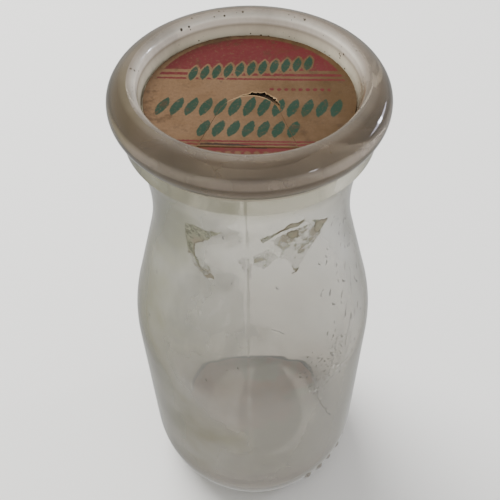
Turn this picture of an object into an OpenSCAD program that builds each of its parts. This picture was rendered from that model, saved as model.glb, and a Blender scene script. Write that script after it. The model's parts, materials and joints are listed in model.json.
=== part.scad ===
// Half-pint round milk bottle of clear pressed glass, closed by a laminated paperboard disc.
// Millimetres. The bottle stands on Z = 0 with its axis on Z; the pull tab's crease is on the -Y side.

/* [Bottle] */
// Height of the glass from the surface it stands on to the crest of the rim
bottle_h = 136; // [126:1:148]
// Outside diameter of the straight body
body_d = 60.4; // [57:0.2:64]
// Glass thickness of the body and the shoulder
wall = 2.7; // [2:0.1:3.4]
// Height at which the straight body turns into the shoulder
shoulder_h = 63; // [56:1:68]
// Radius of the shoulder's outward curve
shoulder_arc_r = 52; // [36:1:60]

/* [Base] */
// Height of the rounded heel
heel_h = 18; // [13:1:22]
// Radius of the curve that runs in from the body to the foot
heel_arc_r = 35; // [30:1:48]
// Radius of the small corner between the heel and the standing ring
foot_round = 2.4; // [1.6:0.1:3]
// Glass thickness at the middle of the bottom
base_t = 4.4; // [3.4:0.1:6]
// Outside diameter of the hollow under the bottom
push_up_d = 41; // [34:1:43]
// Depth of the hollow under the bottom
push_up = 1.2; // [0.6:0.1:1.8]
// Radius of the inside corner between the floor and the wall
floor_round = 13; // [8:0.5:15]

/* [Heel marks] */
// Raised marks on the right side of the heel
mark_count = 9; // [5:1:13]
// Angle from one mark to the next, in degrees
mark_pitch = 9; // [7:0.5:10]
// Angle of the first mark, in degrees from +X towards +Y
mark_start = -55; // [-70:1:-40]
// Height of the middle of the marks
mark_z = 8; // [7:0.5:9]
// Width of a mark
mark_w = 2.2; // [1.4:0.1:2.6]
// Length of a long mark, without its round ends
mark_len = 3; // [2:0.2:3.6]
// Length of every third, short mark, without its round ends
short_mark_len = 0.6; // [0.4:0.1:1.6]
// How far a mark stands proud of the glass
mark_proud = 0.7; // [0.4:0.1:0.8]

/* [Neck] */
// Outside diameter at the narrowest place of the neck
neck_d = 43.4; // [42.4:0.2:46]
// How far the narrowest place is below the crest of the rim
neck_drop = 28; // [25:1:32]
// Radius of the neck's inward curve
neck_arc_r = 48; // [36:1:56]
// Diameter of the throat under the cap's ledge
throat_d = 36.6; // [35:0.2:37.4]
// How far the throat runs straight down below the crest of the rim
throat_drop = 29; // [26:1:33]

/* [Rim] */
// Outside diameter of the rim's bead
bead_d = 54.8; // [53.6:0.2:57]
// Full height of the bead
bead_h = 8.5; // [8:0.1:10]
// Diameter of the crest, the highest circle of the rim
crest_d = 46.2; // [45.8:0.2:47]
// Radius of the rounding from the crest into the mouth
lip_round = 1.6; // [1.2:0.1:1.8]
// Outside diameter of the collar under the bead
collar_d = 50.8; // [49.6:0.2:51.6]
// How far the collar's lower edge is below the crest of the rim
collar_drop = 12.2; // [11:0.1:13]
// Rounding of the collar's lower edge
collar_round = 0.5; // [0.3:0.1:0.7]

/* [Cap] */
// Diameter of the paperboard disc
cap_d = 41.3; // [40.4:0.1:41.6]
// Thickness of the uncut lower ply
base_ply_t = 0.7; // [0.5:0.05:0.9]
// Thickness of the printed upper ply
face_ply_t = 0.45; // [0.35:0.05:0.6]
// How far the disc's face lies below the crest of the rim
cap_drop = 4.7; // [4.4:0.1:5.4]
// Clearance between the edge of the disc and the glass around it
seat_gap = 0.25; // [0.15:0.05:0.35]
// Rounding of the ledge's inner edge
ledge_round = 0.8; // [0.4:0.1:1]

/* [Pull tab] */
// Distance of the tab's crease from the middle of the disc
crease_offset = 15; // [13:0.5:15.5]
// Length of the tab from the crease to its tip
tab_len = 14.4; // [12:0.2:18]
// Width of the tab along the crease
tab_w = 18; // [15:0.5:20]
// Radius of the tab's round tip
tab_tip_r = 6; // [4:0.1:7]
// Cut around the tab
tab_gap = 0.2; // [0.15:0.05:0.35]
// Clearance under the tab
tab_lift = 0.05; // [0.03:0.01:0.08]

/* [Hidden] */
glass_color = [0.72, 0.73, 0.7, 0.55];
board_color = [0.66, 0.55, 0.4];
print_color = [0.72, 0.58, 0.43];
tab_color = [0.62, 0.3, 0.24];
round_fn = 128;
arc_steps = 12;
bead_steps = 30;
mark_steps = 5;

body_r = body_d/2;
bore_r = body_r - wall;
neck_r = neck_d/2;
throat_r = throat_d/2;
crest_r = crest_d/2;
collar_r = collar_d/2;
cap_r = cap_d/2;
seat_r = cap_r + seat_gap;
neck_z = bottle_h - neck_drop;
throat_z = bottle_h - throat_drop;
collar_z = bottle_h - collar_drop;
face_z = bottle_h - cap_drop;
tear_z = face_z - face_ply_t;
ledge_z = tear_z - base_ply_t;
floor_z = push_up + base_t;

// Half axes and middle of the bead's oval section
bead_half_w = bead_d/2 - crest_r;
bead_half_h = bead_h/2;
bead_z = bottle_h - bead_half_h;
// Angle at which the oval runs into the collar
bead_foot = -acos((collar_r - crest_r)/bead_half_w);

// Middle of the heel's curve, and the corner that runs from it to the standing ring
heel_cx = body_r - heel_arc_r;
foot_reach = heel_arc_r - foot_round;
foot_turn = asin((heel_h - foot_round)/foot_reach);
foot_cx = heel_cx + foot_reach*cos(foot_turn);

// Points of a circle's or an oval's arc, from angle a0 to a1
function arc(cx, cz, rx, rz, a0, a1, n) =
    [for (i = [0:n]) let (a = a0 + (a1 - a0)*i/n) [cx + rx*cos(a), cz + rz*sin(a)]];

function reversed(points) = [for (i = [len(points) - 1:-1:0]) points[i]];

// Largest share of the two radii with which an S-curve still fits a step of "step" over "rise"
function curve_share(step, rise, radii) = min(1, (step*step + rise*rise)/(2*step*radii));

// Angle from the axis of the straight stretch between the two curves of an S-curve
function lean(step, rise, radii) =
    atan2(rise, radii - step) - acos(min(1, radii/norm([radii - step, rise])));

// S-curve from the wide radius wide_r at z0 up to the narrow radius narrow_r at z1
function s_curve(wide_r, z0, narrow_r, z1, convex_r, hollow_r) =
    let (step = wide_r - narrow_r,
         rise = z1 - z0,
         share = curve_share(step, rise, convex_r + hollow_r),
         r1 = convex_r*share,
         r2 = hollow_r*share,
         turn = lean(step, rise, r1 + r2))
    concat(arc(wide_r - r1, z0, r1, r1, 0, turn, arc_steps),
           arc(narrow_r + r2, z1, r2, r2, 180 + turn, 180, arc_steps));

// Concave flare from the narrowest place of the neck up to the collar
flare_r = neck_arc_r;
flare_turn = asin((collar_z - neck_z)/flare_r);

push_up_r = push_up_d/2;
push_up_arc_r = (push_up_r*push_up_r + push_up*push_up)/(2*push_up);
push_up_turn = asin(push_up_r/push_up_arc_r);

outer_profile = concat(
    arc(0, push_up - push_up_arc_r, push_up_arc_r, push_up_arc_r, 90, 90 - push_up_turn, arc_steps),
    arc(foot_cx, foot_round, foot_round, foot_round, -90, -foot_turn, arc_steps),
    arc(heel_cx, heel_h, heel_arc_r, heel_arc_r, -foot_turn, 0, arc_steps),
    s_curve(body_r, shoulder_h, neck_r, neck_z, shoulder_arc_r, neck_arc_r),
    arc(neck_r + flare_r, neck_z, flare_r, flare_r, 180, 180 - flare_turn, arc_steps),
    arc(collar_r - collar_round, collar_z + collar_round, collar_round, collar_round, -90, 0, arc_steps),
    arc(crest_r, bead_z, bead_half_w, bead_half_h, bead_foot, 90, bead_steps));

inner_profile = concat(
    arc(0, floor_z, 0, 0, 0, 0, 1),
    arc(bore_r - floor_round, floor_z + floor_round, floor_round, floor_round, -90, 0, arc_steps),
    s_curve(bore_r, shoulder_h, throat_r, throat_z, shoulder_arc_r - wall, neck_arc_r + wall),
    arc(throat_r + ledge_round, ledge_z - ledge_round, ledge_round, ledge_round, 180, 90, arc_steps),
    [[seat_r, ledge_z]],
    arc(crest_r, bottle_h - lip_round, lip_round, lip_round, 180, 90, arc_steps));

// Outline of the tab, or with grow > 0 of the cut around it. heel_y is its edge behind the crease.
crease_y = -crease_offset;
tab_tip_y = crease_y + tab_len - tab_tip_r;
function tab_outline(grow, heel_y) =
    let (r = tab_tip_r + grow,
         half = tab_w/2 + grow,
         reach = norm([half, tab_tip_y - crease_y]),
         side = atan2(crease_y - tab_tip_y, half) + acos(r/reach))
    concat([[half, heel_y], [half, crease_y]],
           arc(0, tab_tip_y, r, r, side, 180 - side, 2*arc_steps),
           [[-half, crease_y], [-half, heel_y]]);

tab_t = face_ply_t - tab_lift;
crease_r = tab_t/2;
crease_z = face_z - crease_r;

// One raised mark on the heel, at an angle round the axis: a bar with round ends along the heel's slope
module heel_mark(around, length) {
    mark_r = mark_w/2;
    slope = asin((heel_h - mark_z)/heel_arc_r);
    reach = heel_arc_r - mark_r + mark_proud;
    rotate([0, 0, around])
    translate([heel_cx + reach*cos(slope), 0, heel_h - reach*sin(slope)])
    rotate([0, slope, 0])
        rotate_extrude($fn = 32)
            polygon(concat(arc(0, -length/2, mark_r, mark_r, -90, 0, mark_steps),
                           arc(0, length/2, mark_r, mark_r, 0, 90, mark_steps)));
}

// The pressed and blown glass: one wall from the standing ring to the rim, with the cap's ledge inside
module glass_bottle() {
    color(glass_color) {
        rotate_extrude($fn = round_fn)
            polygon(concat(outer_profile, reversed(inner_profile)));
        for (i = [0:mark_count - 1])
            heel_mark(mark_start + i*mark_pitch, i % 3 == 2 ? short_mark_len : mark_len);
    }
}

// The uncut lower ply, which seals the mouth and rests on the ledge
module cap_base_ply() {
    color(board_color)
    translate([0, 0, ledge_z])
        cylinder(h = base_ply_t, r = cap_r, $fn = round_fn);
}

// The printed upper ply, glued to the lower one except in the cut around the tab
module cap_face_ply() {
    color(print_color)
    translate([0, 0, tear_z])
    difference() {
        cylinder(h = face_ply_t, r = cap_r, $fn = round_fn);
        translate([0, 0, -face_ply_t])
            linear_extrude(height = 3*face_ply_t)
                polygon(tab_outline(tab_gap, crease_y - crease_r - tab_gap));
    }
}

// The tongue that lifts about its crease; the crease's edge is round, so that it clears the lower ply
module pull_tab() {
    color(tab_color) {
        translate([0, 0, face_z - tab_t])
            linear_extrude(height = tab_t)
                polygon(tab_outline(0, crease_y));
        translate([0, crease_y, crease_z])
        rotate([0, 90, 0])
            cylinder(h = tab_w, r = crease_r, center = true, $fn = 32);
    }
}

glass_bottle();
cap_base_ply();
cap_face_ply();
pull_tab();
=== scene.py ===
"""Half-pint milk bottle of pressed glass with a seated paperboard disc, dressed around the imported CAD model.

Everything is in metres, in the frame of the CAD model: the bottle stands on Z = 0 with its axis on Z.
"""
import json
import math
from functools import partial

import bmesh
import bpy
from mathutils import Matrix, Vector, geometry, noise


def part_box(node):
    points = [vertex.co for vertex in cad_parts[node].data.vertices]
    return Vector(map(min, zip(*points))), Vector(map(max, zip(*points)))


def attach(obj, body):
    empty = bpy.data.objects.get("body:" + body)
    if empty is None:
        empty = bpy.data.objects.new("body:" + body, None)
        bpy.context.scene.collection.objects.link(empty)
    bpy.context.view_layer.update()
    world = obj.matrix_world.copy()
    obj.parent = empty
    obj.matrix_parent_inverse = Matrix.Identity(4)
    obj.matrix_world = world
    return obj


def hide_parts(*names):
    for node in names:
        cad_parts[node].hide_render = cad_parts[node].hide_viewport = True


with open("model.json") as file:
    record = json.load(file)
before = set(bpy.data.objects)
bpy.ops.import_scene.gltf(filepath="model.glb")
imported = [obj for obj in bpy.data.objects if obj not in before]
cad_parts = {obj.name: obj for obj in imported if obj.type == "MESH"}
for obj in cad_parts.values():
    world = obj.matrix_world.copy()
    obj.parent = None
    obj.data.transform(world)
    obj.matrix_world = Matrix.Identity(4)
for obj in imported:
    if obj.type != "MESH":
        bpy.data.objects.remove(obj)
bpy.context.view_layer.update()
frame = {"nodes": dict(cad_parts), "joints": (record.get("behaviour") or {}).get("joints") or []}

MM = 0.001

# -------- sizes, from the frame

BOTTLE_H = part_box("glass_bottle")[1].z
ply_low, ply_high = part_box("cap_base_ply")
CAP_R = ply_high.x
LEDGE_Z = ply_low.z
TEAR_Z = ply_high.z
FACE_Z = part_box("cap_face_ply")[1].z
tab_low, tab_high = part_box("pull_tab")
TAB_T = tab_high.z - tab_low.z
TAB_HALF_W = tab_high.x
TAB_TIP_Y = tab_high.y
CREASE = Vector(next(joint["pos_m"] for joint in frame["joints"] if joint["name"] == "tab_hinge"))

# The tab's round tip, as in the CAD model, and the knife-thin cut around the tab
TAB_TIP_R = 6.0 * MM
TAB_SLIT = 0.06 * MM

# Raised marks on the heel, as in the CAD model; every third one is short
MARK_COUNT = 9
MARK_PITCH = 9.0
MARK_START = -55.0
MARK_Z = 8.0 * MM
MARK_R = 1.1 * MM
MARK_HALF_LEN = (1.5 * MM, 1.5 * MM, 0.3 * MM)
MARK_PROUD = 0.7 * MM

# The two halves of the body mould met in front and behind, a little off the middle
SEAM_ANGLES = (-91.0, 89.0)
SEAM_PROUD = 0.05 * MM
SEAM_HALF_W = 0.35 * MM

# Blown glass is never quite even: the wall and the skin wander by so much over this length
WALL_WANDER = 0.28 * MM
SKIN_WANDER = 0.05 * MM
WANDER_LEN = 19 * MM

# Old label paste on the neck: corners as degrees round the axis and millimetres up
THICK_PASTE = (
    ((-124, 114.1), (-120, 115.2), (-112, 114.8), (-103, 115.4), (-108, 113.6), (-112, 111.4),
     (-119.5, 109.1), (-120.5, 107.1), (-120, 105.3), (-118, 103.6), (-117, 102.2), (-113.5, 102),
     (-111, 101.6), (-114, 101.8), (-118.5, 102.6), (-121, 104.8), (-123, 105.4), (-125, 105.1),
     (-125, 108.1), (-125, 111.4)),
    ((-84, 114), (-79, 114.7), (-73.5, 116.3), (-69, 117.5), (-61.5, 117.4), (-64, 116),
     (-69.5, 116), (-75, 115.1), (-78.5, 113.7), (-82.5, 112.9)),
    ((-70, 114.9), (-64, 114.7), (-63.5, 112), (-67.5, 112.5), (-70, 113.9)),
    ((-56.5, 116.1), (-44.5, 113.2), (-47, 112.2), (-50.5, 110.4), (-54, 111.9), (-54, 114.4)),
    ((-67, 101.5), (-63, 101.7), (-62.5, 102.7), (-64.5, 102.2)),
)
THIN_PASTE = (
    ((-78.5, 113.1), (-69, 115.1), (-55.5, 115.3), (-46, 113), (-50, 109.3), (-56, 106.9), (-62, 103.4),
     (-64, 101.5), (-68, 105.8), (-73, 107.5), (-72.5, 109.9), (-76.5, 111.7)),
    ((-95.5, 107.4), (-91, 108.4), (-88, 106), (-89, 101.5), (-92, 103.6)),
    ((-123.5, 105), (-117, 105.4), (-112, 103.6), (-108.5, 100.4), (-113, 100.2), (-121, 102.4)),
    ((-87, 109), (-79, 110.5), (-75, 107.5), (-82, 104.6), (-87.5, 106)),
)

# Hairline scratches on the body: their bends, as degrees round the axis and millimetres up
SCRATCHES = (((-139, 83.5), (-134, 80.5), (-125, 78.3)), ((-31.5, 79.8), (-39.5, 73.5)),
             ((-24, 91), (-27.5, 84.5)), ((-33, 84), (-37, 80.5)), ((-79, 88), (-73, 86)),
             ((-61, 70.5), (-59, 66), (-57.2, 60), (-53.2, 53.6), (-46, 43)))
SCRATCH_R = 26.0

# Where the glass is bruised, and where it is stained on the left of the neck
BRUISE_AT = (19.5 * MM, -22.5 * MM, 69.5 * MM)
STAIN_AT = (-18 * MM, -13 * MM, 111 * MM)

# The tear in the cap's face: its middle and how far it runs, in degrees round the tab's tip, and its depth
TEAR_MIDDLE = 66
TEAR_SPAN = 48
TEAR_DEPTH = 2.3 * MM


# -------- camera, stage and lights

def take_view():
    """The camera looks down on the bottle, as a person who stands over it does."""
    distance = 170.6 * MM
    aim = Vector((4.27 * MM, 0, 85.4 * MM))
    tilt = math.radians(49.33)
    roll = math.radians(0.8)
    data = bpy.data.cameras.new("view")
    data.sensor_width = 36
    data.lens = 50.7
    data.shift_x = -0.04
    data.clip_start, data.clip_end = 0.01, 20
    camera = bpy.data.objects.new("view", data)
    turn = Matrix.Rotation(math.pi / 2 - tilt, 4, "X") @ Matrix.Rotation(roll, 4, "Z")
    place = aim + distance * Vector((0, -math.cos(tilt), math.sin(tilt)))
    camera.matrix_world = Matrix.Translation(place) @ turn
    bpy.context.collection.objects.link(camera)
    bpy.context.scene.camera = camera


def softbox(name, around, up, distance, size, power, tint=(1, 1, 1)):
    """An oval studio lamp that faces the bottle, at a compass direction and height in degrees."""
    data = bpy.data.lights.new(name, "AREA")
    data.shape = "ELLIPSE"
    data.size, data.size_y = size
    data.energy = power
    data.color = tint
    lamp = bpy.data.objects.new(name, data)
    around, up = math.radians(around), math.radians(up)
    way = Vector((math.cos(around) * math.cos(up), math.sin(around) * math.cos(up), math.sin(up)))
    aim = Vector((0, 0, BOTTLE_H / 2))
    turn = way.to_track_quat("Z", "Y").to_matrix().to_4x4()
    lamp.matrix_world = Matrix.Translation(aim + distance * way) @ turn
    bpy.context.collection.objects.link(lamp)
    return lamp


# -------- material helpers

def srgb(code, alpha=1.0):
    """Linear colour of an sRGB hex value such as "7D2D30"."""
    parts = [int(code[i:i + 2], 16) / 255 for i in (0, 2, 4)]
    return tuple(p / 12.92 if p <= 0.04045 else ((p + 0.055) / 1.055) ** 2.4 for p in parts) + (alpha,)


def add_node(tree, kind, values=None, take=0, stops=(), **settings):
    """Adds a shader node and returns its output "take". settings are the node's own properties; values gives
    each input, by name or number, a fixed value or the output that feeds it; stops are a colour ramp's."""
    made = tree.nodes.new("ShaderNode" + kind)
    for name, value in settings.items():
        setattr(made, name, value)
    for key, value in (values or {}).items():
        if isinstance(value, bpy.types.NodeSocket):
            tree.links.new(value, made.inputs[key])
        else:
            made.inputs[key].default_value = value
    for number, (place, colour) in enumerate(stops):
        ramp = made.color_ramp.elements
        stop = ramp[number] if number < 2 else ramp.new(place)
        stop.position = place
        stop.color = colour
    return made.outputs[take]


def new_material(name):
    """A material without nodes, and the function that adds a node to it."""
    material = bpy.data.materials.new(name)
    material.use_nodes = True
    material.node_tree.nodes.clear()
    return material, partial(add_node, material.node_tree)


def finish(material, shader):
    """Joins a surface shader to the material's output."""
    output = material.node_tree.nodes.new("ShaderNodeOutputMaterial")
    material.node_tree.links.new(shader, output.inputs["Surface"])
    return material


def per(size):
    """Scale of a pattern whose cells are so many millimetres across."""
    return 1000 / size


# What a node that mixes colours is given beside its inputs
COLOUR = {"take": 2, "data_type": "RGBA"}


# -------- glass

def cut_outline(piece):
    """Half outline of a turned CAD piece, cut on its plain -X side: (radius, height) points from the axis
    below, up the outside, over the rim and down the inside to the axis."""
    work = bmesh.new()
    work.from_mesh(piece.data)
    bmesh.ops.remove_doubles(work, verts=work.verts, dist=1e-6)
    parts = work.verts[:] + work.edges[:] + work.faces[:]
    cut = bmesh.ops.bisect_plane(work, geom=parts, dist=1e-7, plane_co=(0, 0, 0), plane_no=(0, 1, 0))
    edges = [e for e in cut["geom_cut"]
             if isinstance(e, bmesh.types.BMEdge) and max(v.co.x for v in e.verts) < 1e-6]
    links = {}
    for edge in edges:
        for here, there in (list(edge.verts), list(edge.verts)[::-1]):
            links.setdefault(here, []).append(there)
    at = min((v for v in links if len(links[v]) == 1), key=lambda v: v.co.z)
    chain = [at]
    came_from = None
    while True:
        onward = [v for v in links[at] if v is not came_from]
        if not onward:
            break
        came_from, at = at, onward[0]
        chain.append(at)
    outline = [(-v.co.x, v.co.z) for v in chain]
    work.free()
    # a flat face across the axis, such as the floor inside, has no point on the axis
    for end, place in ((0, 0), (-1, len(outline) + 1)):
        if outline[end][0] > 1e-6:
            outline.insert(place, (0.0, outline[end][1]))
    return outline


def corner_between(before, at, after):
    """How far the outline turns at a point, in degrees."""
    a = Vector(at) - Vector(before)
    b = Vector(after) - Vector(at)
    return math.degrees(a.angle(b)) if a.length > 1e-7 and b.length > 1e-7 else 0.0


def between(start, end, from_t, to_t, t):
    """The point that is at start when t is from_t and at end when t is to_t."""
    return (start * (to_t - t) + end * (t - from_t)) / (to_t - from_t)


def curve_through(points, spacing):
    """Points close together on one smooth curve through the given ones (centripetal Catmull-Rom)."""
    pts = [Vector(p) for p in points]
    if len(pts) < 3:
        steps = max(1, round((pts[-1] - pts[0]).length / spacing))
        return [pts[0].lerp(pts[-1], i / steps) for i in range(steps + 1)]
    pts = [2 * pts[0] - pts[1]] + pts + [2 * pts[-1] - pts[-2]]
    out = [pts[1]]
    for p0, p1, p2, p3 in zip(pts, pts[1:], pts[2:], pts[3:]):
        t0 = 0.0
        t1 = t0 + math.sqrt((p1 - p0).length)
        t2 = t1 + math.sqrt((p2 - p1).length)
        t3 = t2 + math.sqrt((p3 - p2).length)
        steps = max(1, math.ceil((p2 - p1).length / spacing))
        for i in range(1, steps + 1):
            t = t1 + (t2 - t1) * i / steps
            a1 = between(p0, p1, t0, t1, t)
            a2 = between(p1, p2, t1, t2, t)
            a3 = between(p2, p3, t2, t3, t)
            out.append(between(between(a1, a2, t0, t2, t), between(a2, a3, t1, t3, t), t1, t2, t))
    return out


def fine_outline(points, sharp=25.0, ease=0.25 * MM, spacing=1.3 * MM):
    """The turned outline with close points, its sharp corners eased as fire-polished glass has them."""
    corners = [0] + [i for i in range(1, len(points) - 1)
                     if corner_between(*points[i - 1:i + 2]) > sharp] + [len(points) - 1]
    out = []
    for first, last in zip(corners, corners[1:]):
        run = [Vector(p) for p in points[first:last + 1]]
        for end, beside, cornered in ((0, 1, first > 0), (-1, -2, last < len(points) - 1)):
            way = run[beside] - run[end]
            if cornered:
                run[end] = run[end] + way.normalized() * min(ease, way.length / 3)
        run = curve_through(run, spacing)
        if out:
            before, corner, after = out[-1], Vector(points[first]), run[0]
            for t in (0.33, 0.67):
                out.append(before * (1 - t) ** 2 + corner * 2 * t * (1 - t) + after * t * t)
        out += run
    return out


def columns(step=2.5, mark_step=0.75, seam_step=0.3):
    """Angles round the axis, in degrees: close together over the mould seams and the heel marks."""
    angles = set()
    angle = -180.0
    mark_end = MARK_START + (MARK_COUNT - 1) * MARK_PITCH + 4
    while angle < 180 - 1e-6:
        angles.add(round(angle, 3))
        in_marks = MARK_START - 4 <= angle < mark_end
        near_seam = min(abs(angle - seam) for seam in SEAM_ANGLES) < 1.8
        angle += seam_step if near_seam else mark_step if in_marks else step
    return sorted(angles)


def mark_height(angle, radius, z):
    """How far the heel stands proud of its curve at a place near the raised marks."""
    best = 0.0
    for i in range(MARK_COUNT):
        across = math.radians(angle - MARK_START - i * MARK_PITCH) * radius
        if abs(across) > MARK_R:
            continue
        along = max(0.0, abs(z - MARK_Z) * 1.06 - MARK_HALF_LEN[i % 3])
        reach = math.hypot(across, along) / MARK_R
        if reach < 1:
            best = max(best, MARK_PROUD * (1 - reach ** 2.5))
    return best


def seam_height(angle, radius, z):
    """How far a mould seam stands proud; it fades out on the rim."""
    off = min(abs(math.radians(angle - seam)) * radius for seam in SEAM_ANGLES)
    fade = min(1.0, max(0.0, (BOTTLE_H - z) / (6 * MM)))
    return SEAM_PROUD * fade * math.exp(-(off / SEAM_HALF_W) ** 2)


def skin_push(spot):
    """How far the outer skin lies from its true curve, as blown glass shrinks from the mould."""
    return -SKIN_WANDER * (0.5 + 0.5 * noise.noise(spot / WANDER_LEN)) * min(1.0, spot.z / (3 * MM))


def new_piece(name, verts, faces, slots, finishes):
    """A smooth mesh object; slots gives each face one of the finishes."""
    mesh = bpy.data.meshes.new(name)
    mesh.from_pydata(verts, [], faces)
    for surface in finishes:
        mesh.materials.append(surface)
    mesh.polygons.foreach_set("material_index", slots)
    mesh.polygons.foreach_set("use_smooth", [True] * len(faces))
    mesh.update()
    piece = bpy.data.objects.new(name, mesh)
    bpy.context.collection.objects.link(piece)
    return piece


def make_glass(outline, outer_finish, inner_finish):
    """The bottle: the CAD outline turned in fine steps, with seams, heel marks and an uneven inner wall."""
    crest = max(range(len(outline)), key=lambda i: outline[i].y)
    angles = columns()
    ways = [(math.cos(math.radians(a)), math.sin(math.radians(a))) for a in angles]
    rings, verts, faces, slots = [], [], [], []
    for i, (radius, z) in enumerate(outline):
        if radius < 1e-5:
            rings.append([len(verts)])
            verts.append((0, 0, z))
            continue
        before, after = outline[max(0, i - 1)], outline[min(len(outline) - 1, i + 1)]
        along = (after - before).normalized()
        normal = Vector((along.y, -along.x))
        ring = []
        for angle, (ca, sa) in zip(angles, ways):
            spot = Vector((radius * ca, radius * sa, z))
            if i < crest:
                push = skin_push(spot)
                if 2 * MM < z < 14 * MM:
                    push += mark_height(angle, radius, z)
                if z > 1.5 * MM:
                    push += seam_height(angle, radius, z)
            else:
                depth = (LEDGE_Z - z) / (12 * MM)
                push = -WALL_WANDER * noise.noise(spot / WANDER_LEN + Vector((7, 3, 1)))
                push *= min(1.0, max(0.0, depth))
            r = radius + push * normal.x
            ring.append(len(verts))
            verts.append((r * ca, r * sa, z + push * normal.y))
        rings.append(ring)
    count = len(angles)
    for i, (low, high) in enumerate(zip(rings, rings[1:])):
        slot = 0 if i < crest else 1
        for j in range(count):
            k = (j + 1) % count
            if len(low) == 1:
                faces.append((low[0], high[k], high[j]))
            elif len(high) == 1:
                faces.append((low[j], low[k], high[0]))
            else:
                faces.append((low[j], low[k], high[k], high[j]))
            slots.append(slot)
    return new_piece("bottle_glass", verts, faces, slots, [outer_finish, inner_finish])


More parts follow.
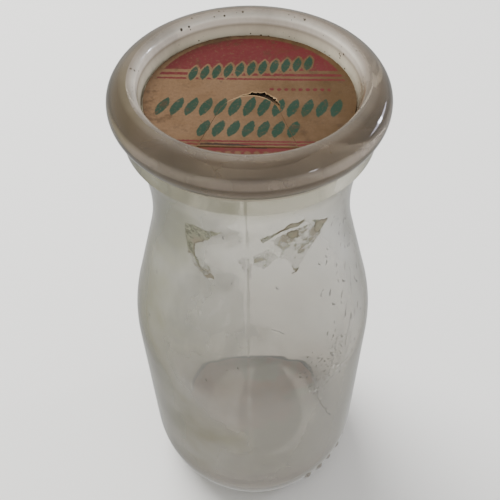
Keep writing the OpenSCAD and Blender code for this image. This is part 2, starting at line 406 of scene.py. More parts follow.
def aged_glass(name, stops, front_stops, front_way, front_reach, scuffed=False, dusty=False):
    """Soda-lime glass pressed and blown in an iron mould, grey-green and never quite clear, worn by years of
    washing: a thin milky film over the body that blurs what is behind it, and a brown rim whose tint is partly
    painted shade for the dark seen through its thick glass. stops give the tint and the share of film by level
    in millimetres, and front_stops those of the front, where the rim is painted darker as shade, with lighter
    painted bands; the front comes in over front_reach millimetres along front_way. scuffed adds the wear and
    the olive film of the outside and a darker film towards the silhouette that is painted shade, dusty the
    dried milk on the floor and the specks of dirt on the seat of the cap."""
    material, add = new_material(name)
    place = add("TexCoord", take="Object")
    x, _, up = add("SeparateXYZ", {0: place}).node.outputs
    level = up
    if scuffed:
        # outside, the level is the height less half the distance out: that parts the bead's top from its side
        plan = add("VectorMath", {0: place, 1: (1, 1, 0)}, operation="MULTIPLY")
        out = add("VectorMath", {0: plan}, take="Value", operation="LENGTH")
        level = add("Math", {0: out, 1: -0.5, 2: up}, operation="MULTIPLY_ADD")
        level = add("Math", {0: level, 1: CREST_R / 2}, operation="ADD")
    level = add("Math", {0: level, 1: 1 / BOTTLE_H}, operation="MULTIPLY")
    tone, front = (add("ValToRGB", {0: level}, stops=[(z * MM / BOTTLE_H, srgb(*look)) for z, *look in some])
                   for some in (stops, front_stops))
    # towards the front the front's stops take over, where the rim is painted darker as shade
    toward = add("VectorMath", {0: place, 1: front_way}, take="Value", operation="DOT_PRODUCT")
    toward = add("MapRange", {0: toward, 1: front_reach[0] * MM, 2: front_reach[1] * MM})
    film = add("Mix", {0: toward, 2: tone.node.outputs["Alpha"], 3: front.node.outputs["Alpha"]})
    tone = add("Mix", {0: toward, 6: tone, 7: front}, **COLOUR)
    # clouds of haze about 17 mm across, drawn out downwards as water ran
    drawn = add("Mapping", {"Vector": place, "Scale": (1, 1, 0.45)})
    cloud = add("TexNoise", {"Vector": drawn, "Scale": per(16.667), "Detail": 7, "Roughness": 0.62})
    share = add("MapRange", {0: cloud, 1: 0.3, 2: 0.7, 3: 0.6, 4: 1.4})
    haze = add("Math", {0: film, 1: share}, operation="MULTIPLY", use_clamp=True)
    if scuffed:
        # the film is olive and thicker towards the left and in patches
        olive_left = add("TexNoise", {"Vector": place, "Scale": per(22.222), "Detail": 3})
        olive_left = add("Math", {0: x, 1: -11, 2: olive_left}, operation="MULTIPLY_ADD")
        olive_left = add("MapRange", {0: olive_left, 1: 0.54, 2: 0.84})
        tone = add("Mix", {0: olive_left, 6: tone, 7: srgb("B9B8A0")}, blend_type="MULTIPLY", **COLOUR)
        haze = add("Math", {0: olive_left, 1: 0.42, 2: haze}, operation="MULTIPLY_ADD", use_clamp=True)
        # and stained on the left of the neck
        stain = add("VectorMath", {0: place, 1: STAIN_AT}, take="Value", operation="DISTANCE")
        stain = add("Math", {0: olive_left, 1: -4 * MM, 2: stain}, operation="MULTIPLY_ADD")
        stain = add("MapRange", {0: stain, 1: 5 * MM, 2: 13 * MM, 3: 0.9, 4: 0})
        tone = add("Mix", {0: stain, 6: tone, 7: srgb("93927D")}, **COLOUR)
        haze = add("Math", {0: stain, 1: 0.35, 2: haze}, operation="MULTIPLY_ADD", use_clamp=True)
        tone, haze = add_wear(add, place, up, tone, haze)
        # seen edge on, a darker film hides the glass: painted shade for the dark surroundings the edges would
        # reflect
        edge_shade = add("LayerWeight", {"Blend": 0.5}, take="Facing")
        edge_shade = add("MapRange", {0: edge_shade, 1: 0.52, 2: 0.82})
        tone = add("Mix", {0: edge_shade, 6: tone, 7: srgb("9A988B")}, blend_type="MULTIPLY", **COLOUR)
        haze = add("Mix", {0: edge_shade, 2: haze, 3: 0.88})
    if dusty:
        # pink-brown and olive patches in the dried milk on the floor
        patch = add("TexNoise", {"Vector": place, "Scale": per(13.333), "Detail": 4})
        patch = add("Math", {0: toward, 1: 0.2, 2: patch}, operation="MULTIPLY_ADD")
        patch = add("MapRange", {0: patch, 1: 0.52, 2: 0.64})
        low = add("Math", {0: up, 1: TIDE_Z}, operation="LESS_THAN")
        patch = add("Math", {0: patch, 1: low}, operation="MULTIPLY")
        tone = add("Mix", {0: patch, 6: tone, 7: srgb("8E8C72")}, **COLOUR)
        # specks of dirt up to 0.7 mm across on the seat of the cap, and a thin tide line round the floor
        seat = add("MapRange", {0: up, 1: LEDGE_Z + 0.2 * MM, 2: LEDGE_Z + 0.6 * MM})
        cell = add("TexVoronoi", {"Vector": place, "Scale": per(1.1111)}, take="Distance")
        grit = add("TexNoise", {"Vector": place, "Scale": per(3.8462), "Detail": 2})
        speck_r = add("MapRange", {0: grit, 1: 0.46, 2: 0.72, 4: 0.32})
        speck = add("Math", {0: cell, 1: speck_r}, operation="LESS_THAN")
        dirt = add("Math", {0: speck, 1: seat}, operation="MULTIPLY")
        shaken = add("Math", {0: grit, 1: 0.8 * MM, 2: up}, operation="MULTIPLY_ADD")
        tide = add("Math", {0: shaken, 1: TIDE_Z + 0.5 * MM, 2: 0.4 * MM}, operation="COMPARE")
        dirt = add("Math", {0: tide, 1: 0.9, 2: dirt}, operation="MULTIPLY_ADD", use_clamp=True)
        tone = add("Mix", {0: dirt, 6: tone, 7: srgb("3D3427")}, **COLOUR)
        haze = add("Math", {0: haze, 1: dirt}, operation="MAXIMUM")
    wave = add("TexNoise", {"Vector": place, "Scale": per(4.5455), "Detail": 1})
    bump = add("Bump", {"Height": wave, "Strength": 0.01, "Distance": 0.1 * MM})
    clear = add("Math", {0: 1, 1: haze}, operation="SUBTRACT")
    rough = add("MapRange", {0: haze, 2: 0.6, 3: 0.01, 4: 0.07})
    shader = add("BsdfPrincipled", {
        "Base Color": tone, "Transmission Weight": clear, "Roughness": rough, "IOR": 1.52, "Normal": bump})
    return finish(material, shader)


def fleck_mask(add, place, spacing, longest, width, lean, crowd):
    """Mask of comma-shaped flecks, at most one to each cell of a pattern spacing millimetres apart: up to
    longest and width millimetres, leaning up to lean radians off upright. crowd is the share of cells that
    hold one. Also gives each fleck's own random number."""
    cells = add("TexVoronoi", {"Vector": place, "Scale": per(spacing)}, take="Position")
    draws = add("SeparateXYZ", {0: cells.node.outputs["Color"]}).node.outputs
    off = add("VectorMath", {0: place, 1: cells}, operation="SUBTRACT")
    round_way = add("VectorMath", {0: (0, 0, 1), 1: place}, operation="CROSS_PRODUCT")
    round_way = add("VectorMath", {0: round_way}, operation="NORMALIZE")
    u = add("VectorMath", {0: off, 1: round_way}, take="Value", operation="DOT_PRODUCT")
    flat = add("CombineXYZ", {0: u, 1: add("SeparateXYZ", {0: off}, take="Z")})
    turn = add("MapRange", {0: draws[0], 3: -lean, 4: lean})
    turned = add("VectorRotate", {"Vector": flat, "Angle": turn}, rotation_type="Z_AXIS")
    sized = add("MapRange", {0: draws[2], 3: 2500.0 / longest, 4: 1000.0 / longest})
    turned = add("VectorMath", {0: turned, "Scale": sized}, operation="SCALE")
    sides = add("SeparateXYZ", {0: turned}).node.outputs
    bent = add("Math", {0: sides[1], 1: sides[1]}, operation="MULTIPLY")
    bow = add("Math", {0: bent, 1: -0.6, 2: sides[0]}, operation="MULTIPLY_ADD")
    bow = add("Math", {0: bow}, operation="ABSOLUTE")
    wide = add("MapRange", {0: bent, 2: 0.25, 3: width / longest / 2, 4: 0})
    fleck = add("Math", {0: bow, 1: wide}, operation="LESS_THAN")
    held = add("Math", {0: draws[1], 1: crowd}, operation="LESS_THAN")
    return add("Math", {0: fleck, 1: held}, operation="MULTIPLY"), draws[2]


def add_wear(add, place, up, tone, haze):
    """Wear on the outside: upright scuffs on the right flank, a bruise of small chips under them, a few flecks
    elsewhere and hairline scratches, all dark with dirt but for a few chips painted pale as glints; none on
    the rim."""
    patch = add("TexNoise", {"Vector": place, "Scale": per(9.0909), "Detail": 2})
    plan = add("VectorMath", {0: place, 1: (1, 1, 0)}, operation="MULTIPLY")
    plan = add("VectorMath", {0: plan}, operation="NORMALIZE")
    flank = add("VectorMath", {0: plan, 1: (0.9, -0.44, 0)}, take="Value", operation="DOT_PRODUCT")
    flank = add("MapRange", {0: flank, 1: 0.82, 2: 0.95, 3: -0.4, 4: 0.04})
    flank = add("Math", {0: patch, 1: flank}, operation="ADD")
    flank = add("MapRange", {0: flank, 1: 0.3, 2: 0.5, 3: 0.035, 4: 0.7})
    body = add("MapRange", {0: up, 1: 62 * MM, 2: 84 * MM})
    neck = add("MapRange", {0: up, 1: 100 * MM, 2: 118 * MM, 3: 1, 4: 0})
    crowd = add("Math", {0: flank, 1: body}, operation="MULTIPLY")
    crowd = add("Math", {0: crowd, 1: neck}, operation="MULTIPLY")
    scuffs, _ = fleck_mask(add, place, 2.9412, 2.7, 0.6, 0.8, crowd)
    bruise = add("VectorMath", {0: place, 1: BRUISE_AT}, take="Value", operation="DISTANCE")
    bruise = add("MapRange", {0: bruise, 1: 2 * MM, 2: 11 * MM, 3: 0.8, 4: 0})
    chips, luck = fleck_mask(add, place, 1.1111, 1.5, 0.6, 3.1, bruise)
    worn = add("Math", {0: scuffs, 1: chips}, operation="MAXIMUM")
    worn = add("Math", {0: worn, 1: 0.75}, operation="MULTIPLY")
    # the scratches lie on the skin unrolled: millimetres round and up
    x, y, _ = add("SeparateXYZ", {0: place}).node.outputs
    around = add("Math", {0: y, 1: x}, operation="ARCTAN2")
    around = add("Math", {0: around, 1: SCRATCH_R}, operation="MULTIPLY")
    skin = add("CombineXYZ", {0: around, 1: add("Math", {0: up, 1: 1000}, operation="MULTIPLY")})
    wobble = add("TexNoise", {"Vector": skin, "Scale": 0.35, "Detail": 2}, take="Color")
    skin = add("VectorMath", {0: wobble, 1: (1.6, 1.6, 0), 2: skin}, operation="MULTIPLY_ADD")
    for ends in [pair for bends in SCRATCHES for pair in zip(bends, bends[1:])]:
        start, end = (Vector((math.radians(turn) * SCRATCH_R + 0.8, z + 0.8, 0)) for turn, z in ends)
        way = (end - start).normalized()
        off = add("VectorMath", {0: skin, 1: start}, operation="SUBTRACT")
        along = add("VectorMath", {0: off, 1: way}, take="Value", operation="DOT_PRODUCT")
        along = add("MapRange", {0: along, 2: (end - start).length, 4: (end - start).length})
        nearest = add("VectorMath", {0: way, "Scale": along}, operation="SCALE")
        far = add("VectorMath", {0: off, 1: nearest}, take="Value", operation="DISTANCE")
        hair = add("MapRange", {0: far, 1: 0.06, 2: 0.16, 3: 0.7, 4: 0})
        worn = add("Math", {0: worn, 1: hair}, operation="MAXIMUM")
    # a few chips are pale: painted glints where a chip catches the lamps
    painted_glint = add("Math", {0: luck, 1: 0.96}, operation="GREATER_THAN")
    painted_glint = add("Math", {0: painted_glint, 1: chips}, operation="MULTIPLY")
    mark = add("Mix", {0: painted_glint, 6: srgb("45413A"), 7: srgb("C6C4BE")}, **COLOUR)
    tone = add("Mix", {0: worn, 6: tone, 7: mark}, **COLOUR)
    return tone, add("Math", {0: worn, 1: 0.8, 2: haze}, operation="MULTIPLY_ADD", use_clamp=True)


# -------- thin sheets cut to an outline

def dense_loop(points, spacing):
    """Points close together along a closed outline."""
    out = []
    for here, there in zip(points, points[1:] + points[:1]):
        here, there = Vector(here), Vector(there)
        steps = max(1, round((there - here).length / spacing))
        out += [here.lerp(there, i / steps) for i in range(steps)]
    return out


def inside_loop(spot, loop):
    """True if a flat point is inside a closed outline."""
    inside = False
    for here, there in zip(loop, loop[1:] + loop[:1]):
        if (here.y > spot.y) != (there.y > spot.y):
            if spot.x < here.x + (there.x - here.x) * (spot.y - here.y) / (there.y - here.y):
                inside = not inside
    return inside


def cut_sheet(name, loops, spacing, shape, finishes, bulge=lambda spot: 0.0, rows=1):
    """A thin closed sheet between two skins. loops are flat outlines, the outer one first; shape(spot, side,
    edge) places a flat point on the upper (side 1) or lower (side -1) skin, with edge its distance to the
    nearest outline; bulge(spot) rounds the edge outwards. finishes are the upper skin's, then the rest's."""
    points = [p for loop in loops for p in loop]
    ties, first = [], 0
    for loop in loops:
        ties += [(first + i, first + (i + 1) % len(loop)) for i in range(len(loop))]
        first += len(loop)
    rim_count = len(points)
    x_low, x_high = min(p.x for p in loops[0]), max(p.x for p in loops[0])
    y_low, y_high = min(p.y for p in loops[0]), max(p.y for p in loops[0])

    def held(spot):
        return inside_loop(spot, loops[0]) and not any(inside_loop(spot, hole) for hole in loops[1:])

    def to_edge(spot):
        return min((spot - p).length for p in points[:rim_count])

    row, y = 0, y_low + spacing / 2
    while y < y_high:
        x = x_low + spacing * (0.5 if row % 2 else 1.0)
        while x < x_high:
            spot = Vector((x, y))
            if held(spot) and to_edge(spot) > spacing * 0.55:
                points.append(spot)
            x += spacing
        y += spacing * 0.87
        row += 1
    flat, _, tris, source, _, _ = geometry.delaunay_2d_cdt(points, ties, [], 0, 1e-9)
    tris = [tri for tri in tris if held((flat[tri[0]] + flat[tri[1]] + flat[tri[2]]) / 3)]
    place_of = {old: new for new, olds in enumerate(source) for old in olds}
    edges = [0.0 if min(olds, default=rim_count) < rim_count else to_edge(spot)
             for spot, olds in zip(flat, source)]
    count = len(flat)
    verts = [shape(spot, side, edge) for side in (1, -1) for spot, edge in zip(flat, edges)]
    edge_of = edges * 2
    faces = [tuple(tri) for tri in tris] + [tuple(v + count for v in reversed(tri)) for tri in tris]
    slots = [0] * len(tris) + [1] * len(tris)
    first = 0
    for loop in loops:
        ring = []
        for i, spot in enumerate(loop):
            way = (loop[(i + 1) % len(loop)] - loop[i - 1]).normalized()
            out = Vector((way.y, -way.x))
            index = place_of[first + i]
            top, low = Vector(verts[index]), Vector(verts[index + count])
            stack = [index]
            for step in range(1, rows):
                turn = math.pi * (0.5 - step / rows)
                spot3 = (top + low) / 2 + (top - low) / 2 * math.sin(turn)
                push = out * bulge(spot) * math.cos(turn)
                stack.append(len(verts))
                verts.append((spot3.x + push.x, spot3.y + push.y, spot3.z))
                edge_of.append(0.0)
            ring.append(stack + [index + count])
        for here, there in zip(ring, ring[1:] + ring[:1]):
            for step in range(rows):
                faces.append((here[step], here[step + 1], there[step + 1], there[step]))
                slots.append(1)
        first += len(loop)
    sheet = new_piece(name, verts, faces, slots, finishes)
    sheet.data.attributes.new("edge", "FLOAT", "POINT").data.foreach_set("value", [e / MM for e in edge_of])
    sheet.data.set_sharp_from_angle(angle=math.radians(50))
    return sheet


def ragged(loop, reach, length, seed):
    """The outline with each point moved in or out by about reach, in bites of a given length."""
    out = []
    for i, spot in enumerate(loop):
        way = (loop[(i + 1) % len(loop)] - loop[i - 1]).normalized()
        shift = noise.noise(Vector((spot.x / length, spot.y / length, seed))) * 1.6
        shift += noise.noise(Vector((spot.x / length * 3, spot.y / length * 3, seed + 5))) * 0.7
        out.append(spot + Vector((way.y, -way.x)) * shift * reach)
    return out


# -------- dried paste on the neck

def outer_radius(outline, z):
    """Radius of the outer skin at a height on the neck or shoulder."""
    crest = max(range(len(outline)), key=lambda i: outline[i].y)
    for low, high in zip(outline[:crest], outline[1:crest + 1]):
        if low.y <= z <= high.y and high.y > low.y:
            return low.x + (high.x - low.x) * (z - low.y) / (high.y - low.y)
    return outline[crest].x


def paste_patch(name, outline, corners, thickness, finish, seed):
    """A ragged crust of dried label paste that hugs the neck."""
    middle_z = sum(z for _, z in corners) / len(corners) * MM
    per_degree = math.radians(1) * outer_radius(outline, middle_z)
    loop = dense_loop([(around * per_degree, z * MM) for around, z in corners], 0.22 * MM)
    loop = ragged(loop, 0.22 * MM, 0.9 * MM, seed)
    if sum(a.x * b.y - b.x * a.y for a, b in zip(loop, loop[1:] + loop[:1])) < 0:
        loop.reverse()

    def shape(spot, side, edge):
        around = math.radians(spot.x / per_degree)
        base = outer_radius(outline, spot.y)
        skin = skin_push(Vector((base * math.cos(around), base * math.sin(around), spot.y)))
        swell = min(1.0, 0.25 + edge / (0.6 * MM)) * (0.8 + 0.4 * noise.noise(spot.to_3d() / (1.1 * MM)))
        reach = base + skin + (0.015 * MM + thickness * swell if side > 0 else -0.03 * MM)
        return reach * math.cos(around), reach * math.sin(around), spot.y

    return cut_sheet(name, [loop], 0.55 * MM, shape, [finish, finish])


def dried_paste(name, cover):
    """Old casein label paste: a thin olive crust, mottled and crazed so that glass shows between the flakes,
    a little browner along parts of its edge. cover is the share of the surface it hides."""
    material, add = new_material(name)
    place = add("TexCoord", take="Object")
    edge = add("Attribute", take="Fac", attribute_name="edge")
    blot = add("TexNoise", {"Vector": place, "Scale": per(1.1111), "Detail": 4, "Roughness": 0.7})
    broad = add("TexNoise", {"Vector": place, "Scale": per(3.8462), "Detail": 3})
    mixed = add("MapRange", {0: blot, 1: 0.35, 2: 0.65})
    tone = add("Mix", {0: mixed, 6: srgb("6E6E58"), 7: srgb("9B9A84")}, **COLOUR)
    warm = add("MapRange", {0: broad, 1: 0.5, 2: 0.65})
    tone = add("Mix", {0: warm, 6: tone, 7: srgb("8F8570")}, **COLOUR)
    rim = add("MapRange", {0: edge, 1: 0.05, 2: 0.4, 3: cover ** 2, 4: 0})
    rim = add("Math", {0: rim, 1: add("MapRange", {0: broad, 1: 0.42, 2: 0.56})}, operation="MULTIPLY")
    tone = add("Mix", {0: rim, 6: tone, 7: srgb("5A5040")}, **COLOUR)
    held = add("Math", {0: blot, 1: broad}, operation="ADD")
    held = add("MapRange", {0: held, 1: 1.14 - 0.36 * cover, 2: 1.26 - 0.36 * cover,
                            3: cover ** 2 * 0.6, 4: min(0.9, cover + 0.2)})
    held = add("Math", {0: held, 1: rim}, operation="MAXIMUM")
    bump = add("Bump", {"Height": blot, "Strength": 0.5, "Distance": 0.08 * MM})
    shader = add("BsdfPrincipled", {"Base Color": tone, "Roughness": 0.75, "Alpha": held, "Normal": bump})
    return finish(material, shader)


# -------- paperboard

def pulp_board(name):
    """Uncoated pulp board, grey-brown and fibrous, dipped in wax so that it takes a dull sheen."""
    material, add = new_material(name)
    place = add("TexCoord", take="Object")
    fibre = add("TexNoise", {"Vector": place, "Scale": per(0.55556), "Detail": 4, "Roughness": 0.7})
    stain = add("TexNoise", {"Vector": place, "Scale": per(8.3333), "Detail": 4})
    tone = add("Mix", {0: fibre, 6: srgb("4A3722"), 7: srgb("755C3D")}, **COLOUR)
    wet = add("MapRange", {0: stain, 1: 0.45, 2: 0.7, 4: 0.7})
    tone = add("Mix", {0: wet, 6: tone, 7: srgb("3C2A18")}, **COLOUR)
    # deep in the tear at the tab's tip the board is painted dark: painted shadow in the hole of the tear
    tear_shadow = add("VectorMath", {0: place, 1: (1.8 * MM, TAB_TIP_Y, TEAR_Z)}, take="Value", operation="DISTANCE")
    tear_shadow = add("MapRange", {0: tear_shadow, 1: 2.6 * MM, 2: 4.2 * MM, 3: 0.92, 4: 0})
    tone = add("Mix", {0: tear_shadow, 6: tone, 7: srgb("150E07")}, **COLOUR)
    bump = add("Bump", {"Height": fibre, "Strength": 0.5, "Distance": 0.08 * MM})
    shader = add("BsdfPrincipled", {"Base Color": tone, "Roughness": 0.75, "Normal": bump})
    return finish(material, shader)


def leaf_row(add, along, across, pitch, height, slant, beside, grow=0.0):
    """Mask of a row of pointed leaves, pitch apart and height tall, in millimetres: each is where two circles
    overlap. slant leans them, beside is how many stand each side of the middle one, grow adds a margin."""
    half_h, half_w = height / 2, pitch * 0.4
    radius = (half_h ** 2 + half_w ** 2) / (2 * half_w)
    leaned = add("Math", {0: across, 1: -slant, 2: along}, operation="MULTIPLY_ADD")
    cell = add("Math", {0: leaned, 1: pitch / 2, 2: -pitch / 2}, operation="WRAP")
    off = add("Math", {0: cell}, operation="ABSOLUTE")
    off = add("CombineXYZ", {0: add("Math", {0: off, 1: radius - half_w}, operation="ADD"), 1: across})
    far = add("VectorMath", {0: off}, take="Value", operation="LENGTH")
    leaf = add("MapRange", {0: far, 1: radius + grow, 2: radius + grow - 0.12})
    held = add("Math", {0: leaned, 1: 0, 2: (beside + 0.5) * pitch}, operation="COMPARE")
    return add("Math", {0: leaf, 1: held}, operation="MULTIPLY")


def dot_row(add, x, y, middle, pitch, radius, strength=1.0):
    """Mask of a row of round dots, pitch apart, middle up the sheet, in millimetres."""
    off = add("Math", {0: x, 1: pitch / 2, 2: -pitch / 2}, operation="WRAP")
    off = add("CombineXYZ", {0: off, 1: add("Math", {0: y, 1: -middle}, operation="ADD")})
    off = add("VectorMath", {0: off}, take="Value", operation="LENGTH")
    return add("MapRange", {0: off, 1: radius, 2: radius - 0.1, 4: strength})


def printed_board(name):
    """Pulp board with a calendered tan face, printed letterpress in red and green: flat inks that miss the
    lowest fibres and have worn thin, under wax that has yellowed and caught dirt. The board darkens towards +X
    and the rim, partly painted shade, and its cuts and the cracked crease are painted as dark lines of shade.
    The print is plain leaves, rules and dots."""
    material, add = new_material(name)
    place = add("TexCoord", take="Object")
    # the inks' edges wander by a tenth of a millimetre, as ink spreads in pulp
    spread = add("TexNoise", {"Vector": place, "Scale": per(0.45455), "Detail": 2}, take="Color")
    spread = add("VectorMath", {0: spread, 1: (0.5, 0.5, 0.5)}, operation="SUBTRACT")
    flat = add("VectorMath", {0: spread, 1: (0.4 * MM, 0.4 * MM, 0), 2: place}, operation="MULTIPLY_ADD")
    flat = add("VectorMath", {0: flat, 1: (1000, 1000, 0)}, operation="MULTIPLY")
    x, y, _ = add("SeparateXYZ", {0: flat}).node.outputs
    far = add("VectorMath", {0: flat}, take="Value", operation="LENGTH")
    within = add("MapRange", {0: far, 1: 19.3, 2: 19.15})

    # red: a segment of the disc, two rules under it, and two rules and a dotted band at the bottom
    red = add("MapRange", {0: y, 1: 8, 2: 8.1})
    for middle, half in ((6.6, 0.42), (5.1, 0.28), (-13.7, 0.22), (-14.5, 0.22)):
        rule = add("Math", {0: y, 1: middle, 2: half}, operation="COMPARE")
        red = add("Math", {0: red, 1: rule}, operation="MAXIMUM")
    band = add("Math", {0: y, 1: -17.2, 2: 1.9}, operation="COMPARE")
    bare = dot_row(add, x, y, -16.9, 1.7, 0.6, 0.9)
    band = add("Math", {0: band, 1: bare}, operation="SUBTRACT", use_clamp=True)
    red = add("Math", {0: red, 1: band}, operation="MAXIMUM")
    # a small row of red dots at the right
    at_right = add("Math", {0: x, 1: 9.4, 2: 6.2}, operation="COMPARE")
    dots = add("Math", {0: dot_row(add, x, y, 1.9, 1.4, 0.5), 1: at_right}, operation="MULTIPLY")
    red = add("Math", {0: red, 1: dots}, operation="MAXIMUM")
    red = add("Math", {0: red, 1: within}, operation="MULTIPLY")

    # green: three rows of leaves; the top one leans up to the right over the red, with a bare margin round it
    climb = add("Math", {0: x, 1: -0.17, 2: y}, operation="MULTIPLY_ADD")
    climb = add("Math", {0: climb, 1: -8.6}, operation="ADD")
    margin = leaf_row(add, x, climb, 2.3, 4.9, 0.15, 5, grow=0.42)
    green = leaf_row(add, x, climb, 2.3, 4.9, 0.15, 5)
    for middle, pitch, tall, beside in ((-3.8, 2.75, 5.8, 6), (-10.1, 2.75, 5.0, 3)):
        level = add("Math", {0: y, 1: -middle}, operation="ADD")
        row = leaf_row(add, x, level, pitch, tall, 0.3, beside)
        green = add("Math", {0: green, 1: row}, operation="MAXIMUM")
    red = add("Math", {0: red, 1: margin}, operation="SUBTRACT", use_clamp=True)

    # board: fibres half a millimetre long, mottle, and a brown darkening towards +X and the rim, where the
    # glass rim shades the disc: partly stain, partly painted shade
    fibre = add("TexNoise", {"Vector": place, "Scale": per(0.66667), "Detail": 4, "Roughness": 0.7})
    mottle = add("TexNoise", {"Vector": place, "Scale": per(6.25), "Detail": 5, "Roughness": 0.6})
    board = add("Mix", {0: fibre, 6: srgb("48341F"), 7: srgb("6A5037")}, **COLOUR)
    lean = add("Math", {0: x, 1: 0.02, 2: mottle}, operation="MULTIPLY_ADD")
    lean = add("Math", {0: far, 1: 0.012, 2: lean}, operation="MULTIPLY_ADD")
    shade_and_stain = add("MapRange", {0: lean, 1: 0.42, 2: 1.05, 4: 0.85})
    # ink cover: pinholes where a fibre lies low, and worn thin in patches
    hold = add("MapRange", {0: fibre, 1: 0.3, 2: 0.45, 3: 0.25, 4: 0.95})
    worn = add("MapRange", {0: mottle, 1: 0.58, 2: 0.78, 3: 1, 4: 0.55})
    cover = add("Math", {0: hold, 1: worn}, operation="MULTIPLY")
    red = add("Math", {0: red, 1: cover}, operation="MULTIPLY")
    green = add("Math", {0: green, 1: cover}, operation="MULTIPLY")
    # dirt: specks; and along the cut edges of the sheet a thin dark line, painted shade in the cuts and worn
    # dirt at the disc's rim
    cell = add("TexVoronoi", {"Vector": place, "Scale": per(2.0833)}, take="Distance")
    speck_r = add("MapRange", {0: mottle, 1: 0.55, 2: 0.8, 4: 0.22})
    speck = add("Math", {0: cell, 1: speck_r}, operation="LESS_THAN")
    speck = add("Math", {0: speck, 1: 0.8}, operation="MULTIPLY")
    edge = add("Attribute", take="Fac", attribute_name="edge")
    # the tab's torn tip shows pale fibre; down its sides the cut is painted as a thin dark line of shade
    torn = add("MapRange", {0: y, 1: TAB_TIP_Y / MM - 2.6, 2: TAB_TIP_Y / MM - 1})
    torn = add("Math", {0: torn, 1: add("MapRange", {0: far, 1: 12, 2: 10})}, operation="MULTIPLY")
    reach = add("MapRange", {0: torn, 3: 0.1, 4: 0.3})
    cut_shade_and_fray = add("MapRange", {0: edge, 2: reach, 3: 0.75, 4: 0})
    cut_shade_and_fibre = add("Mix", {0: torn, 6: srgb("4A3620"), 7: srgb("957B5A")}, **COLOUR)
    # and the crease, cracked open on the left half, the open gap painted as a dark line of shade
    shaken = add("Math", {0: mottle, 1: 1.6, 2: y}, operation="MULTIPLY_ADD")
    shaken = add("Math", {0: x, 1: 0.1, 2: shaken}, operation="MULTIPLY_ADD")
    crack = add("Math", {0: shaken, 1: CREASE.y / MM + 0.8}, operation="SUBTRACT")
    crack = add("Math", {0: crack}, operation="ABSOLUTE")
    crack = add("MapRange", {0: crack, 1: 0.16, 2: 0.34, 3: 0.9, 4: 0})
    left = add("Math", {0: x, 1: -2.5, 2: 6}, operation="COMPARE")
    crack = add("Math", {0: crack, 1: left}, operation="MULTIPLY")
    # brown blots of damp a millimetre or two across, most of them near the edge
    blot = add("TexNoise", {"Vector": place, "Scale": per(3.0303), "Detail": 4, "Roughness": 0.7})
    blot = add("Math", {0: far, 1: 0.008, 2: blot}, operation="MULTIPLY_ADD")
    blot = add("MapRange", {0: blot, 1: 0.68, 2: 0.8, 4: 0.6})
    # the darkening towards +X and at the rim: painted shade with some stain
    tone = add("Mix", {0: shade_and_stain, 6: board, 7: srgb("3D2A10")}, **COLOUR)
    # the dark line on the cut edges and the dark cracked crease are painted shade
    for share, colour in ((red, srgb("4A0A11")), (green, srgb("02281A")), (cut_shade_and_fray, cut_shade_and_fibre),
                          (crack, srgb("1C140B")), (blot, srgb("35230F")), (speck, srgb("33271A"))):
        tone = add("Mix", {0: share, 6: tone, 7: colour}, **COLOUR)
    relief = add("Math", {0: mottle, 1: 2, 2: fibre}, operation="MULTIPLY_ADD")
    bump = add("Bump", {"Height": relief, "Strength": 0.35, "Distance": 0.08 * MM})
    rough = add("MapRange", {0: mottle, 1: 0.3, 2: 0.7, 3: 0.5, 4: 0.68})
    shader = add("BsdfPrincipled", {"Base Color": tone, "Roughness": rough, "Normal": bump})
    return finish(material, shader)


def tab_outline(grow, heel_y):
    """Outline of the pull tab, or of the cut around it, anticlockwise: straight sides to a round tip."""
    radius, half = TAB_TIP_R + grow, TAB_HALF_W + grow
    middle_y = TAB_TIP_Y - TAB_TIP_R
    reach = math.hypot(half, middle_y - CREASE.y)
    side = math.atan2(CREASE.y - middle_y, half) + math.acos(radius / reach)
    turns = [side + (math.pi - 2 * side) * i / 24 for i in range(25)]
    tip = [(radius * math.cos(t), middle_y + radius * math.sin(t)) for t in turns]
    return [(half, heel_y), (half, CREASE.y)] + tip + [(-half, CREASE.y), (-half, heel_y)]


def disc_outline(radius, seed):
    """A die-cut disc's edge, a little uneven where the board has swollen and worn."""
    count = 300
    out = []
    for i in range(count):
        turn = 2 * math.pi * i / count
        way = Vector((math.cos(turn), math.sin(turn)))
        wear = 0.5 + 0.5 * noise.noise(Vector((way.x * 5, way.y * 5, seed)))
        wear += 0.35 * noise.noise(Vector((way.x * 22, way.y * 22, seed)))
        out.append(way * (radius - 0.16 * MM * max(0.0, wear)))
    return out


def board_relief(spot):
    """The cap's face is not quite flat: it has sunk a little in the middle and cockled with damp. It stays
    level along the crease, so that the tab turns true."""
    sunk = -0.1 * MM * (1 - (spot.length / CAP_R) ** 2) + 0.05 * MM * noise.noise(spot.to_3d() / (6 * MM))
    off = min(1.0, math.hypot(max(0.0, abs(spot.x) - TAB_HALF_W), spot.y - CREASE.y) / (3 * MM))
    return sunk * off * off * (3 - 2 * off)


def tear_lift(spot):
    """How far the board's fibres stand up behind the tear at the tab's tip."""
    off = math.hypot(spot.x - 1.4 * MM, spot.y - TAB_TIP_Y - 1.6 * MM)
    rough = 0.8 + 0.9 * noise.noise(spot.to_3d() / (0.7 * MM))
    return 0.42 * MM * max(0.0, rough) * math.exp(-(off / (1.5 * MM)) ** 2)


def tab_curl(spot):
    """How far the tab's tip has lifted from being picked at."""
    along = max(0.0, (spot.y - CREASE.y) / (TAB_TIP_Y - CREASE.y) - 0.45) / 0.55
    return 0.45 * MM * along ** 2 * (1 + 0.35 * spot.x / TAB_TIP_R)


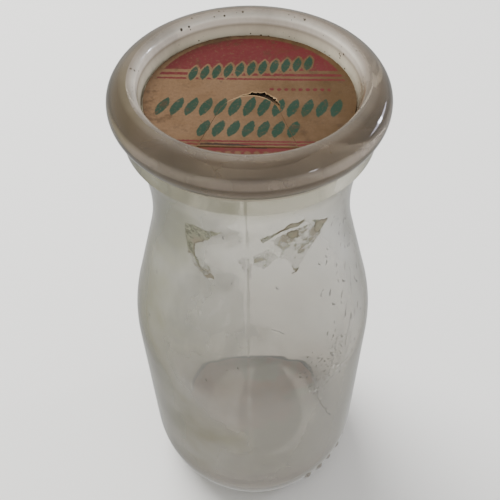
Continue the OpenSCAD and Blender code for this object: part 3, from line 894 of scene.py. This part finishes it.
def make_cap(raw, printed):
    """The disc: a plain lower ply, the printed ply with its cut and torn opening, and the tab in it."""

    def base_shape(spot, side, edge):
        if side < 0:
            return spot.x, spot.y, LEDGE_Z
        return spot.x, spot.y, TEAR_Z + board_relief(spot) - (0.07 * MM if edge == 0 else 0.02 * MM)

    base = cut_sheet("cap_base_board", [disc_outline(CAP_R, 2.0)], 1.1 * MM, base_shape, [raw, raw], rows=2)

    opening = dense_loop(tab_outline(TAB_SLIT, CREASE.y - TAB_T / 2 - TAB_SLIT), 0.3 * MM)
    torn = []
    for i, spot in enumerate(opening):
        way = (opening[(i + 1) % len(opening)] - opening[i - 1]).normalized()
        # the tear runs over the tip and down its right shoulder
        around = math.degrees(math.atan2(spot.y - (TAB_TIP_Y - TAB_TIP_R), spot.x))
        reach = max(0.0, 1 - abs(around - TEAR_MIDDLE) / TEAR_SPAN) if spot.y > CREASE.y + 4 * MM else 0.0
        bite = 0.75 + 0.35 * noise.noise(spot.to_3d() / (0.9 * MM))
        bite += 0.3 * noise.noise(spot.to_3d() / (0.3 * MM))
        torn.append(spot + Vector((way.y, -way.x)) * (reach ** 0.8 * TEAR_DEPTH * max(0.0, bite)))

    def face_shape(spot, side, edge):
        if side < 0:
            return spot.x, spot.y, TEAR_Z + board_relief(spot)
        # the board is pressed down along the crease, to leave room for the tab to fold back
        scored = abs(spot.y - CREASE.y) < MM and abs(spot.x) < TAB_HALF_W + 0.1 * MM
        eased = 0 if edge > 0 else 0.42 * TAB_T if scored else 0.06 * MM
        return spot.x, spot.y, FACE_Z + board_relief(spot) + tear_lift(spot) - eased

    face = cut_sheet("cap_printed_board", [disc_outline(CAP_R - 0.05 * MM, 9.0), torn], 0.8 * MM, face_shape,
                     [printed, raw], rows=2)

    def tab_shape(spot, side, edge):
        lift = board_relief(spot) + tab_curl(spot)
        eased = 0.05 * MM if edge == 0 and side > 0 and spot.y > CREASE.y + MM else 0.0
        return spot.x, spot.y, FACE_Z - (0 if side > 0 else TAB_T) + lift - eased

    tab_loop = dense_loop(tab_outline(0.0, CREASE.y), 0.3 * MM)
    tab = cut_sheet("pull_tab_board", [tab_loop], 0.7 * MM, tab_shape, [printed, raw], rows=6,
                    bulge=lambda spot: TAB_T / 2 if spot.y < CREASE.y + 0.01 * MM else 0.02 * MM)
    return base, face, tab


# -------- the pieces

# Tint and share of film, by level in millimetres: round the bottle, then on its front, where the rim is
# painted a darker brown as shade
# Outside, the darker olive band from 122.7 to 126.2 mm, just under the rim, is painted shade
NECK_OUTSIDE = ((0, "C2B8AC", 0.22), (14, "C2B8AC", 0.2), (22, "C6C0B4", 0.2), (66, "C6C2B8", 0.2),
                (76, "CCCAC4", 0.21), (83, "D0CFCA", 0.24), (93, "D6D5D1", 0.25), (108, "E0DFDC", 0.25),
                (119, "E2E0D9", 0.18), (122.7, "BFBBA8", 0.18), (126.2, "BFBBA8", 0.18))
# The rim's brown all round is partly painted shade, standing in for the dark seen through its thick glass
OUTSIDE = NECK_OUTSIDE + ((127.0, "7C6E60", 0.62), (129.6, "7C6E60", 0.62), (132.4, "64594C", 0.6),
                          (135.0, "64594C", 0.6), (135.9, "6B6053", 0.62))
# On the front the rim is painted with shade and lit bands: a lit band on the collar at 127 mm, darker brown
# shade, and a lighter painted band from 130.2 to 131.4 mm
FRONT_OUTSIDE = NECK_OUTSIDE + ((127.0, "978A7A", 0.62), (128.0, "7A6D5D", 0.58), (129.6, "5D5040", 0.55),
                                (130.2, "988A7D", 0.45), (131.4, "988A7D", 0.45), (132.2, "564837", 0.56),
                                (135.0, "564837", 0.56), (135.7, "6F6355", 0.54))
# Inside, the dark brown from 125.4 to 129.8 mm, under the rim, is painted shade
NECK_INSIDE = ((5, "A37C62", 0.95), (8, "A37C62", 0.93), (8.8, "C8C4BB", 0.1), (30, "D0CEC8", 0.06),
               (60, "D8D7D2", 0.06), (123.4, "DCD9CF", 0.04), (125.4, "8A7A66", 0.5), (129.8, "6F5E4A", 0.65))
# The white bands on the seat are a painted highlight of the inner lip over a pale lime crust, with a darker
# painted line at 133.3 mm between them
INSIDE = NECK_INSIDE + ((130.4, "CDC4AC", 0.72), (131.6, "E9E1CB", 0.84), (132.7, "E9E1CB", 0.84),
                        (133.3, "BDB3A0", 0.7), (133.9, "FAF4E6", 0.86), (135.1, "FAF4E6", 0.84),
                        (135.7, "8F857A", 0.55), (136, "857A6D", 0.52))
# On the near and right side the seat is painted dark brown as shade
FRONT_INSIDE = NECK_INSIDE + ((130.4, "6B5A45", 0.6), (134.5, "6B5A45", 0.55), (135.8, "766A5C", 0.44))
TIDE_Z = 8.4 * MM

outline = fine_outline(cut_outline(frame["nodes"]["glass_bottle"]))
CREST_R = max(outline, key=lambda point: point.y).x
outer_glass = aged_glass("pressed_glass_outside", OUTSIDE, FRONT_OUTSIDE, (0.1, -1, 0), (-8, 3), scuffed=True)
inner_glass = aged_glass("pressed_glass_inside", INSIDE, FRONT_INSIDE, (0.4, -0.9, 0), (-1, 12), dusty=True)
glass = make_glass(outline, outer_glass, inner_glass)
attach(glass, "bottle")
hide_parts("glass_bottle")

thick, thin = dried_paste("dried_label_paste", 0.85), dried_paste("thin_label_paste", 0.4)
for number, corners in enumerate(THICK_PASTE + THIN_PASTE):
    is_thick = number < len(THICK_PASTE)
    patch = paste_patch("label_paste_%d" % (number + 1), outline, corners, (0.09 if is_thick else 0.03) * MM,
                        thick if is_thick else thin, 3.7 * number)
    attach(patch, "bottle")

raw, printed = pulp_board("waxed_pulp_board"), printed_board("printed_pulp_board")
base, face, tab = make_cap(raw, printed)
for piece, node, body, slot in ((base, "cap_base_ply", "cap", "plain_board"),
                                (face, "cap_face_ply", "cap", "printed_board"),
                                (tab, "pull_tab", "tab", "printed_tab")):
    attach(piece, body)
    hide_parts(node)


def lay_floor():
    """Pale matte studio floor."""
    material, add = new_material("studio_floor")
    shader = add("BsdfPrincipled", {"Base Color": srgb("E6E5E2"), "Roughness": 0.9})
    finish(material, shader)
    bpy.ops.mesh.primitive_plane_add(size=6)
    floor = bpy.context.object
    floor.name = "studio_floor"
    floor.data.materials.append(material)
    # kept out of reflections, where a floor so pale would veil the glass
    floor.visible_glossy = False


def light_studio():
    """A pale even surround, a large lamp high at the back and a cool window low on the right."""
    key = softbox("key_softbox", 130, 55, 0.95, (0.7, 0.7), 18)
    key.visible_glossy = False
    softbox("window_strip", 23, 13, 0.7, (0.36, 0.09), 0.6, (0.84, 0.82, 1.0))
    softbox("window_core", 23, 14, 0.7, (0.08, 0.13), 0.9, (0.86, 0.88, 1.0))
    softbox("window_chink", -43, 23, 0.7, (0.08, 0.03), 0.08, (0.95, 0.93, 1.0))
    sky = bpy.data.worlds.new("studio")
    sky.use_nodes = True
    background = sky.node_tree.nodes["Background"]
    background.inputs["Color"].default_value = srgb("E9E9E7")
    add = partial(add_node, sky.node_tree)
    way = add("TexCoord", take="Generated")
    rise = add("SeparateXYZ", {0: way}, take="Z")
    power = add("MapRange", {0: rise, 1: -0.1, 2: 0, 3: 0.8, 4: 1.05})
    sky.node_tree.links.new(power, background.inputs["Strength"])
    bpy.context.scene.world = sky


lay_floor()
take_view()
light_studio()

bpy.context.view_layer.update()
